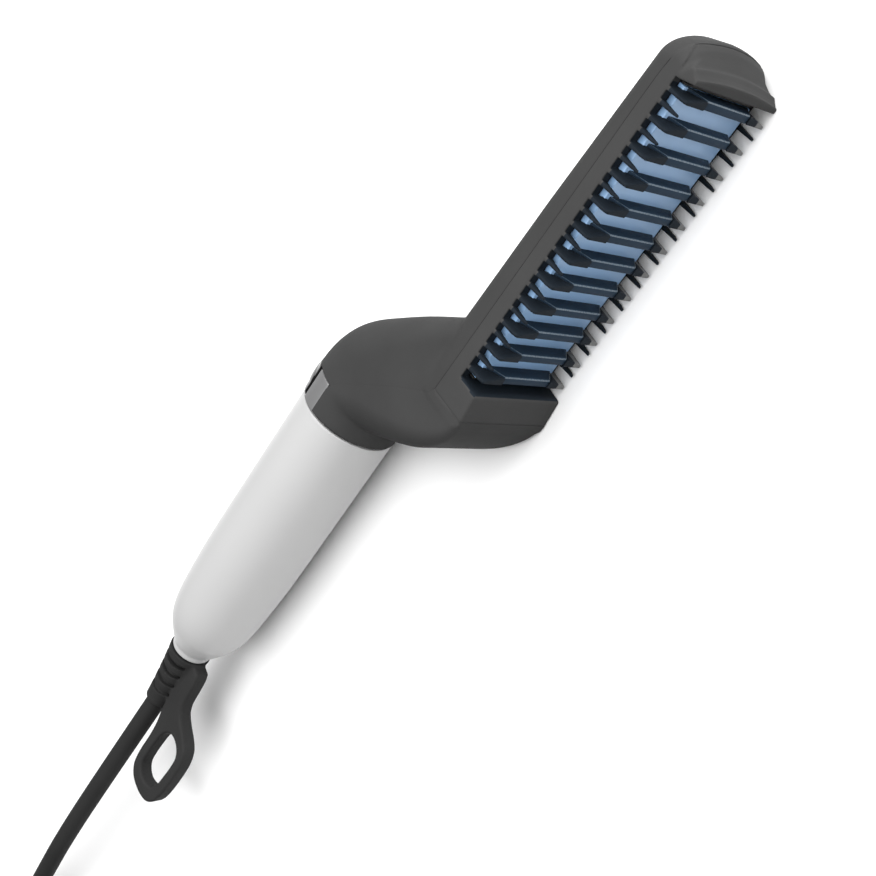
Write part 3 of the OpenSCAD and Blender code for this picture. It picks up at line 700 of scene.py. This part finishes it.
def split(V, T, g):
    """Cuts triangles along g = 0. Points close to the line are moved on to it first by the caller."""
    s = np.where(np.abs(g) < 1e-7, 0, np.sign(g)).astype(int)
    ts = s[T]
    hit = (ts.max(1) > 0) & (ts.min(1) < 0)
    keep = T[~hit]
    C = T[hit]
    E = np.concatenate([C[:, [0, 1]], C[:, [1, 2]], C[:, [2, 0]]])
    E.sort(axis=1)
    cross = s[E[:, 0]] * s[E[:, 1]] < 0
    U = np.unique(E[cross], axis=0)
    t = g[U[:, 0]] / (g[U[:, 0]] - g[U[:, 1]])
    new = V[U[:, 0]] + (V[U[:, 1]] - V[U[:, 0]]) * t[:, None]
    base = len(V)
    key = {(int(a), int(b)): base + i for i, (a, b) in enumerate(U)}
    out = []
    for tri in C:
        a, b, c = (int(q) for q in tri)
        sa, sb, sc = s[a], s[b], s[c]
        if 0 in (sa, sb, sc):
            while s[a] != 0:
                a, b, c = b, c, a
            m = key[(min(b, c), max(b, c))]
            out += [(a, b, m), (a, m, c)]
        else:
            while s[b] * s[c] < 0 or s[a] == s[b]:
                a, b, c = b, c, a
            m, n = key[(min(a, b), max(a, b))], key[(min(a, c), max(a, c))]
            out += [(a, m, n), (m, b, c), (m, c, n)]
    V = np.vstack([V, new])
    g = np.concatenate([g, np.zeros(len(new))])
    T = np.vstack([keep, np.array(out, int).reshape(-1, 3)])
    return V, T, g


def cut_line(V, T, line, field, level, h):
    """Cuts the mesh along line(V) = level, moving points that are nearly on it instead of making slivers."""
    g = line(V) - level
    near = np.abs(g) < 0.22 * h
    if near.any():
        P = V[near]
        for _ in range(3):
            n = gradient(field, P)
            n /= np.linalg.norm(n, axis=1)[:, None]
            e = 0.02
            gg = np.stack([(line(P + np.eye(3)[k] * e) - line(P - np.eye(3)[k] * e)) / (2 * e) for k in range(3)], 1)
            gt = gg - (gg * n).sum(1)[:, None] * n
            q = line(P) - level
            P = P - gt * (q / np.maximum((gt * gt).sum(1), 0.05))[:, None]
            P = settle(field, P, h, 1)
        V = V.copy()
        V[near] = P
        g = line(V) - level
        g[near] = 0.0
    n0 = len(V)
    V, T, g = split(V, T, g)
    V[n0:] = settle(field, V[n0:], h, 2)
    return V, T


def border(T):
    """Directed edges that only one triangle has."""
    E = np.concatenate([T[:, [0, 1]], T[:, [1, 2]], T[:, [2, 0]]])
    S = np.sort(E, axis=1)
    _, first, count = np.unique(S, axis=0, return_index=True, return_counts=True)
    return E[first[count == 1]]


def shell(V, T, field, wall, drop):
    """Closed shell from an open patch of the outer surface: the patch, its copy set in by wall, and rims between them.
    drop gives how far each point of the patch is let in, for the rounded edges."""
    used = np.unique(T)
    back = -np.ones(len(V), int)
    back[used] = np.arange(len(used))
    T = back[T]
    P = V[used]
    n = gradient(field, P, 0.05)
    n /= np.linalg.norm(n, axis=1)[:, None]
    outer = P - n * drop[used][:, None]
    inner = P - n * wall
    m = len(P)
    E = border(T)
    rim = np.concatenate([np.stack([E[:, 1], E[:, 0], E[:, 0] + m], 1), np.stack([E[:, 1], E[:, 0] + m, E[:, 1] + m], 1)])
    return np.vstack([outer, inner]), np.concatenate([T, T[:, ::-1] + m, rim])


def triangles(Q):
    return np.concatenate([Q[:, [0, 1, 2]], Q[:, [0, 2, 3]]])


def relax(field, V, T, h, times=3):
    """Evens out the triangles without leaving the surface."""
    E = np.concatenate([T[:, [0, 1]], T[:, [1, 2]], T[:, [2, 0]]])
    for _ in range(times):
        acc = np.zeros_like(V)
        cnt = np.zeros(len(V))
        for a, b in ((0, 1), (1, 0)):
            np.add.at(acc, E[:, a], V[E[:, b]])
            np.add.at(cnt, E[:, a], 1)
        mean = acc / np.maximum(cnt, 1)[:, None]
        n = gradient(field, V)
        n /= np.maximum(np.linalg.norm(n, axis=1), 1e-9)[:, None]
        d = mean - V
        d -= (d * n).sum(1)[:, None] * n
        V = settle(field, V + 0.5 * d, h, 1)
    return V


def housings():
    h = 0.7
    V, Q = surface(envelope, (-47.0, -8.6, -16.6), (91.0, 48.6, 16.6), h)
    T = triangles(Q)
    V = relax(envelope, V, T, h, 3)
    seam = lambda P: seam_distance(P[:, 0], P[:, 1])
    hole = lambda P: np.where(P[:, 1] > 6, np.minimum(np.hypot(P[:, 0] - SCREWS[0], P[:, 2]), np.hypot(P[:, 0] - SCREWS[1], P[:, 2])) - 2.85, 5.0)
    collar = lambda P: P[:, 0]
    chin = lambda P: P[:, 0]
    panel = lambda P: P[:, 1]
    V, T = cut_line(V, T, collar, envelope, -46.15, h)
    for level in (-0.45, -0.2, -0.07, 0.0, 0.07, 0.2, 0.45):
        V, T = cut_line(V, T, seam, envelope, level, h)
    for level in (-36.45, -36.3, CHIN_X - 0.25, CHIN_X - 0.05):
        V, T = cut_line(V, T, chin, envelope, level, h)
    V, T = cut_line(V, T, hole, envelope, 0.0, h)
    C = V[T].mean(1)
    open_ = hole(C) < 0
    sd = seam_distance(C[:, 0], C[:, 1])
    live = C[:, 0] > -46.15
    rear = live & (sd > 0) & ~open_ & ~((C[:, 0] < -36.45) & (C[:, 1] > HY - 0.3))
    front = live & (sd < 0) & (C[:, 0] < CHIN_X - 0.05)

    def letting(P, radius, which):
        s = np.abs(seam_distance(P[:, 0], P[:, 1]))
        q = np.clip(radius - s, 0, radius)
        d = radius - np.sqrt(np.maximum(radius ** 2 - q ** 2, 0))
        e = np.abs(P[:, 0] + 46.15)
        q = np.clip(0.3 - e, 0, 0.3)
        d = np.maximum(d, 0.3 - np.sqrt(np.maximum(0.09 - q ** 2, 0)))
        if which == "rear":
            e = np.where(P[:, 1] > HY - 1, np.abs(P[:, 0] + 36.45), 9)
        else:
            e = np.abs(P[:, 0] - CHIN_X + 0.05)
        q = np.clip(0.2 - e, 0, 0.2)
        return np.maximum(d, 0.2 - np.sqrt(np.maximum(0.04 - q ** 2, 0)))

    # the line along the head is wider than the one down the neck
    width = seam_width(V[:, 0], V[:, 1])
    drop = np.array(letting(V, 0.45, "rear"))
    drop *= width / 0.45
    RV, RT = shell(V, T[rear], envelope, WALL, drop)
    r = make_object("rear_shell", RV, RT, "housing_dark", "handle", "rear_housing", sharp=50)
    drop = np.array(letting(V, 0.45, "front")) * width / 0.45
    FV, FT = shell(V, T[front], envelope, WALL, drop)
    f = make_object("front_shell", FV, FT, "housing_dark", "handle", "front_housing", sharp=50)
    return r, f


rear_ob, front_ob = housings()


# ---------------------------------------------------------------- guard
NEAR_SHIFT = -0.1  # the near row against the far row
GULLET = 0.45  # floor of the slots between the teeth


def tooth_field(x, y, z):
    """Both rows of teeth. Wide ones stand at the blades and slant down towards them, narrow ones stand half way between."""
    az = np.abs(z)
    s = np.where(z > 0, NEAR_SHIFT, 0.0)
    h = np.clip((GULLET - y) / (GULLET - TEETH_Y), 0, 1)
    out = az - (HW - 0.1 - 0.35 * h - 0.5 * np.clip((h - 0.75) / 0.25, 0, 1))
    top = TEETH_Y - y
    # wide teeth: as thick as the blade where they meet it, drawn to a narrow edge outside
    q = np.clip((az - 8.4) / 6.8, 0, 1)
    q = q * (0.55 + 0.45 * q)
    hi = 1.33 - 1.30 * q - 0.22 * q * h
    lo = -0.74 - 0.22 * q + 0.22 * q * h
    k = np.clip(np.round((x - s - 0.2) / PITCH), 0, BLADES - 1)
    u = (np.abs(x - s - PITCH * k - (hi + lo) / 2) - (hi - lo) / 2) * 0.98
    inner = (12.2 - az - (-0.7 - y) * 0.92) * 0.73
    wide = rmax(rmax(out, top, 0.35), rmax(u, inner, 0.12), 0.15)
    # narrow teeth: thin pins half way between
    k = np.clip(np.round((x - s - 3.45) / PITCH), 0, BLADES - 2)
    u = np.abs(x - s - 3.45 - PITCH * k) - 0.52 + 0.22 * h
    inner = 13.6 + 0.55 * h - az
    thin = rmax(rmax(out, top, 0.35), rmax(u, inner, 0.15), 0.15)
    return np.maximum(np.minimum(wide, thin), y - 1.2)


def guard_field(x, y, z):
    az = np.abs(z)
    low = head_field_low(x, y, z)
    body = np.maximum(low, CHIN_X - x)
    ring = rmax(y - part_y(x), body, np.maximum(seam_width(x, y), 0.02))
    # a tongue reaches under the edges of the housings
    tongue = np.maximum(np.maximum(low + 0.16, y - part_y(x) - 0.7), np.maximum(CHIN_X - 0.7 - x, -low - 2.2))
    ring = np.minimum(ring, tongue)
    # room for the plate, open on the comb side
    end = HOOD_X
    hole = rmax(rmax(HEEL_X - x, x - end, 0.3), az - 13.0, 0.6)
    ring = rmax(ring, -hole, 0.25)
    rim = rmax(GULLET - y, ring, 0.15)
    inner = (x > HEEL_X - 0.01) & (x < end + 0.01)
    walls = np.where(inner, rim, ring)
    d = np.minimum(walls, tooth_field(x, y, z))
    return d


def head_field_low(x, y, z):
    """Outside of the guard: the flat sides, the heel's face and the hood."""
    sides = np.abs(z) - HW
    heel = (-6.2 - y) - 0.125 * (-4.3 - x)
    face = (x - (-4.0)) * 0.9945 - (y + 6.2) * 0.07
    heel_block = rmax(rmax(heel, sides, 0.7), face, 0.7)
    mid = rmax(GULLET - y, sides, 0.15)
    tip = tip_field(x, y, z)
    hood_top = -4.8 - y
    hood_in = HOOD_X + 1.1 * np.clip(-y / 4.3, 0, 1) - x
    hood = rmax(rmax(rmax(sides, tip, corner_radius(y)), hood_top, 0.4), hood_in, 0.3)
    middle = rmax(mid, tip, 3.0)
    return np.minimum(np.minimum(np.where(x < 10, heel_block, 1e3), np.where(x > 60, hood, 1e3)), middle)


def guard():
    h = 0.3
    V, Q = surface(guard_field, (-12.9, -8.4, -16.5), (90.3, 6.0, 16.5), h, 5)
    ob = make_object("guard_frame", V, Q, "guard_dark", "handle", "comb_guard", sharp=35)
    # the teeth are darker than the flat sides, and the same dark material is painted shade on the inner faces of the
    # walls and on the heel's wall that faces the tip; the outer ends of the wide ones on the far side are paler, a
    # painted highlight
    ob.data.materials.append(MAT["tooth_black"])
    P = V[Q].mean(1)
    k = (P[:, 0] - 3.45) / PITCH
    narrow = np.abs(k - np.round(k)) * PITCH < 1.25
    comb = (P[:, 1] < GULLET - 0.55) & (P[:, 0] > HEEL_X + 0.2) & (P[:, 0] < HOOD_X - 1.0)
    # painted shade: faces inside the walls, where the plate sits, take the dark material
    inside = (np.abs(P[:, 2]) < HW - 0.4) & (P[:, 1] < 3.0) & (P[:, 0] > HEEL_X - 0.2) & (P[:, 0] < HOOD_X - 1.0)
    n = np.zeros(len(P) * 3, np.float32)
    ob.data.polygons.foreach_get("normal", n)
    n = n.reshape(-1, 3)
    # painted shade: the heel's wall facing the tip takes the dark material
    heel = (n[:, 0] > 0.5) & (P[:, 0] < HEEL_X + 0.3) & (P[:, 0] > HEEL_X - 1.6) & (P[:, 1] > -5.9)
    # painted light: the outer ends of the wide teeth on the far side take a paler material
    tip = comb & ~narrow & (P[:, 2] < -11.6)
    black_teeth_and_shade_mask = comb & ~tip | inside | heel
    ob.data.materials.append(MAT["tooth_grey"])
    ob.data.polygons.foreach_set("material_index", np.where(tip, 2, black_teeth_and_shade_mask.astype(int)).astype(np.int32))
    return ob


guard_ob = guard()


# ---------------------------------------------------------------- plate and blades
def prism(name_points, x0, x1):
    """Closed prism along x of a (y, z) outline."""
    P = np.asarray(name_points, float)
    n = len(P)
    V = [(x0, p[0], p[1]) for p in P] + [(x1, p[0], p[1]) for p in P]
    F = [tuple(range(n)), tuple(range(2 * n - 1, n - 1, -1))]
    F += [(i, (i + 1) % n, n + (i + 1) % n, n + i)[::-1] for i in range(n)]
    return V, F


def bevelled(name, verts, faces, mat, width, segments, body, node, angle=30):
    ob = make_object(name, verts, faces, mat, smooth=False)
    tidy(ob)
    bm = bmesh.new()
    bm.from_mesh(ob.data)
    edges = [e for e in bm.edges if len(e.link_faces) == 2 and e.calc_face_angle(0) > math.radians(angle)]
    bmesh.ops.bevel(bm, geom=edges, offset=width / 1000.0, segments=segments, profile=0.5, affect="EDGES", clamp_overlap=True)
    bm.to_mesh(ob.data)
    bm.free()
    ob.data.polygons.foreach_set("use_smooth", np.ones(len(ob.data.polygons), bool))
    ob.data.set_sharp_from_angle(angle=math.radians(40))
    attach(ob, body)
    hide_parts(node)
    return ob


def plate_and_blades():
    V, F = [], []
    outline = rounded_poly([(-1.1, -12.6), (-1.1, 12.6), (0.9, 12.6), (0.9, -12.6)], 0.3, 3)
    V, F = prism(outline, -2.6, HOOD_X - 0.9)
    plate = bevelled("hot_plate", V, F, "plate_blue", 0.2, 2, "handle", "heating_plate", 50)
    V, F = [], []
    for k in range(BLADES):
        x0 = PITCH * k - 0.78
        outline = [(-0.6, -11.5), (-1.2, -11.5), (-4.9, -8.2), (-4.9, 8.2), (-1.2, 11.5), (-0.6, 11.5)]
        v, f = prism(outline, x0, x0 + 2.15)
        base = len(V)
        V += v
        F += [tuple(base + i for i in q) for q in f]
    blades = bevelled("hot_blades", V, F, "blade_blue", 0.32, 2, "handle", "comb_blades", 30)
    # painted highlight: the bevel along the forward upper edge of each blade gets a paler, glossier material
    blades.data.materials.append(MAT["blade_edge"])
    for p in blades.data.polygons:
        if p.normal.x > 0.25 and p.normal.y < -0.25 and abs(p.normal.z) < 0.3:
            p.material_index = 1
    return plate, blades


plate_ob, blades_ob = plate_and_blades()


# ---------------------------------------------------------------- handle, collar panel and button
def handle():
    xs = [-139.0, -138.4, -136.8, -134.4, -131.4, -127.5, -122.5, -117, -111, -105, -98, -90]
    rs = [6.35, 6.9, 7.95, 9.35, 10.85, 11.95, 12.65, 13.02, 13.3, 13.5, 13.62, 13.65]
    x = np.concatenate([np.linspace(-139.0, -120, 40), np.linspace(-119, -90, 24), np.linspace(-86, -47.2, 14)])
    r = hermite(xs + [-46.9], rs + [13.65], x)
    outer = [(-141.3, 5.5), (-141.24, 5.8), (-141.05, 6.02), (-140.8, 6.12), (-140.2, 6.15), (-139.6, 6.2)] + list(zip(x, r))
    outer += [(-46.75, 13.64), (-46.5, 13.56), (-46.4, 13.35), (-46.4, 12.2), (-46.4, 11.75)]
    inner = [(-60, 11.75), (-90, 11.75), (-117.9, 11.75), (-121, 10.8), (-126.5, 10.3), (-130, 9.4), (-133, 8.2), (-133, 5.25), (-141.3, 5.25)]
    V, F = lathe(outer + inner, 160)
    ob = make_object("handle_grip", V, F, "handle_white", "handle", "handle_sleeve", sharp=35)
    tidy(ob)
    return ob


handle_ob = handle()


def arc_band(name, x0, x1, r0, r1, y_low, half_w, mat, body, node, round_=0.35):
    """Curved strip round the back of the collar, between two radii, its edges rounded. half_w limits |z| if given."""
    R = (r1 + r0) / 2

    def field(x, y, z):
        r = np.hypot(y - HY, z)
        d = rmax(r - r1, r0 - r, 0.15)
        d = rmax(d, rmax(x0 - x, x - x1, 0.1), round_)
        d = rmax(d, y_low - y, 0.2)
        if half_w:
            d = rmax(d, np.abs(z) - half_w, round_)
        return d
    return field


def panel():
    ring = arc_band("", -46.15, -36.62, 11.65, 13.9, HY + 0.06, None, None, None, None, 0.25)

    def field(x, y, z):
        d = ring(x, y, z)
        # floor under the button
        r = np.hypot(y - HY, z)
        hole = rmax(np.abs(z) - 12.3, 12.1 - r, 0.1)
        return rmax(d, -hole, 0.15)
    V, Q = surface(field, (-46.9, HY - 0.6, -14.6), (-35.9, 47.9, 14.6), 0.28, 4)
    ob = make_object("collar_panel", V, Q, "panel_silver", "handle", "control_panel", sharp=40)

    def field2(x, y, z):
        r = np.hypot(y - HY, z)
        top = r - (13.95 + 0.42 * np.clip(1 - (np.hypot((x + 41.3) / 4.6, z / 12.0)) ** 6, 0, 1))
        d = rmax(top, 12.9 - r, 0.3)
        d = rmax(d, np.abs(x + 41.4) - 4.6, 0.45)
        d = rmax(d, np.abs(z) - 12.1, 0.45)
        d = np.maximum(d, HY + 2 - y)
        stem = np.maximum(np.hypot(x + 41.3, z) - 1.5, np.maximum(HY + 10.75 - y, y - HY - 13.2))
        return np.minimum(d, stem)
    V, Q = surface(field2, (-46.9, HY + 1.4, -13.0), (-35.9, 48.4, 13.0), 0.28, 4)
    but = make_object("push_button", V, Q, "button_gloss", "button", "power_button", sharp=40)
    return ob, but


panel_ob, button_ob = panel()


# ---------------------------------------------------------------- strain relief and hanging loop
LOOP = [[-142.6, 24.2], [-144.6, 23.4], [-148.5, 22.9], [-152.5, 22.6], [-155.2, 22.1], [-157.4, 20.8], [-159.2, 18.2],
        [-160.8, 15.2], [-162.6, 12.7], [-164.8, 11.3], [-168.2, 10.4], [-173, 10.1], [-178, 10.1], [-182.6, 10.4], [-186.2, 11.4],
        [-188.7, 13.4], [-189.6, 16.4], [-189.5, 19.4], [-188.6, 22.4], [-186.8, 24.5], [-184.2, 25.8], [-179.5, 26.4],
        [-173.7, 26.5], [-167.5, 27.1], [-161, 28.6], [-150, 29], [-142.6, 28.6]]
HOLE = [[-184.9, 17.6], [-183.8, 15.4], [-181.2, 13.9], [-177.2, 13.5], [-171.3, 13.4], [-167.6, 13.9], [-165.2, 15.9],
        [-164.4, 18.6], [-165.4, 21], [-168.4, 22.6], [-173.2, 23.1], [-179.1, 23.1], [-182.2, 22.7], [-184.1, 21.3], [-185, 19.4]]


def outline_distance(P, x, y):
    """Signed distance in the plane to a closed outline, negative inside."""
    P = np.asarray(P, float)
    best = np.full(x.shape, 1e9)
    inside = np.zeros(x.shape, bool)
    for (x0, y0), (x1, y1) in zip(P, np.roll(P, -1, 0)):
        dx, dy = x1 - x0, y1 - y0
        t = np.clip(((x - x0) * dx + (y - y0) * dy) / (dx * dx + dy * dy), 0, 1)
        best = np.minimum(best, np.hypot(x - x0 - t * dx, y - y0 - t * dy))
        if y0 != y1:
            cross = ((y0 > y) != (y1 > y)) & (x < (x1 - x0) * (y - y0) / (y1 - y0) + x0)
            inside ^= cross
    return np.where(inside, -best, best)


def relief():
    prof_x = [-164.2, -162.0, -158.0, -154.0, -150.0, -146.0, -141.75]
    prof_r = [3.95, 4.1, 4.45, 4.85, 5.3, 5.8, 6.4]
    loop_pts = catmull(LOOP + [LOOP[0]], 4)[:-1]
    hole_pts = catmull(HOLE + [HOLE[0]], 4)[:-1]

    def boot(x, y, z):
        r = np.hypot(y - HY, z)
        rr = np.interp(x, prof_x, prof_r)
        # grooves run round the side away from the loop, their ends curved
        d = (r - rr) * 0.98
        for c in (-145.5, -149.7, -153.9, -158.1):
            slot = rmax(np.abs(x - c - 0.02 * (y - HY) ** 2 * (z > 0)) - 0.85, 3.5 - r, 0.3)
            side = (HY - 4.9) - y
            cut = rmax(slot, side * 0.7, 0.3)
            d = rmax(d, -cut, 0.25)
        d = rmax(d, -164.2 - x, 0.4)
        return rmax(d, x + 141.75, 0.3)

    def plate(x, y, z):
        o = outline_distance(loop_pts, x, y)
        i = outline_distance(hole_pts, x, y)
        d = rmax(o, -i, 0.3)
        d = rmax(d, np.abs(z) - 2.25, 0.8)
        return d

    def both(x, y, z):
        return rmin(boot(x, y, z), plate(x, y, z), 0.9)

    V, Q = surface(both, (-190.8, 8.9, -7.2), (-141.0, 40.4, 7.2), 0.36, 4)
    ob = make_object("relief_and_loop", V, Q, "rubber_dark", "cord_set", ["strain_relief", "hanging_loop"], sharp=40)
    return ob


relief_ob = relief()


# ---------------------------------------------------------------- floor, lights and world
def stage():
    me = bpy.data.meshes.new("floor")
    s, d = 3.0, 3.0
    me.from_pydata([(-s, -d, 0), (s, -d, 0), (s, d, 0), (-s, d, 0)], [], [(0, 1, 2, 3)])
    ob = bpy.data.objects.new("floor", me)
    bpy.context.scene.collection.objects.link(ob)
    m = bpy.data.materials.new("floor")
    m.use_nodes = True
    b = m.node_tree.nodes["Principled BSDF"]
    b.inputs["Base Color"].default_value = (0.93, 0.93, 0.93, 1)
    b.inputs["Roughness"].default_value = 0.85
    b.inputs["Specular IOR Level"].default_value = 0.1
    me.materials.append(m)


def area(name, loc, target, size, power, size_y=None):
    li = bpy.data.lights.new(name, "AREA")
    li.energy = power
    li.size = size
    if size_y:
        li.shape = "RECTANGLE"
        li.size_y = size_y
    ob = bpy.data.objects.new(name, li)
    bpy.context.scene.collection.objects.link(ob)
    ob.location = loc
    ob.rotation_euler = (Vector(target) - Vector(loc)).to_track_quat("-Z", "Y").to_euler()
    return ob


stage()
area("key", (0.40, 0.10, 1.15), (0.0, 0.0, 0.0), 2.0, 43.0)
area("front", (1.1, -0.02, 0.20), (0.09, 0.0, 0.016), 0.5, 9.0)
world = bpy.data.worlds.new("world")
bpy.context.scene.world = world
world.use_nodes = True
world.node_tree.nodes["Background"].inputs["Color"].default_value = (1, 1, 1, 1)
world.node_tree.nodes["Background"].inputs["Strength"].default_value = 0.14
bpy.context.scene.view_settings.view_transform = "Standard"
bpy.context.scene.view_settings.exposure = 0.0

bpy.context.view_layer.update()
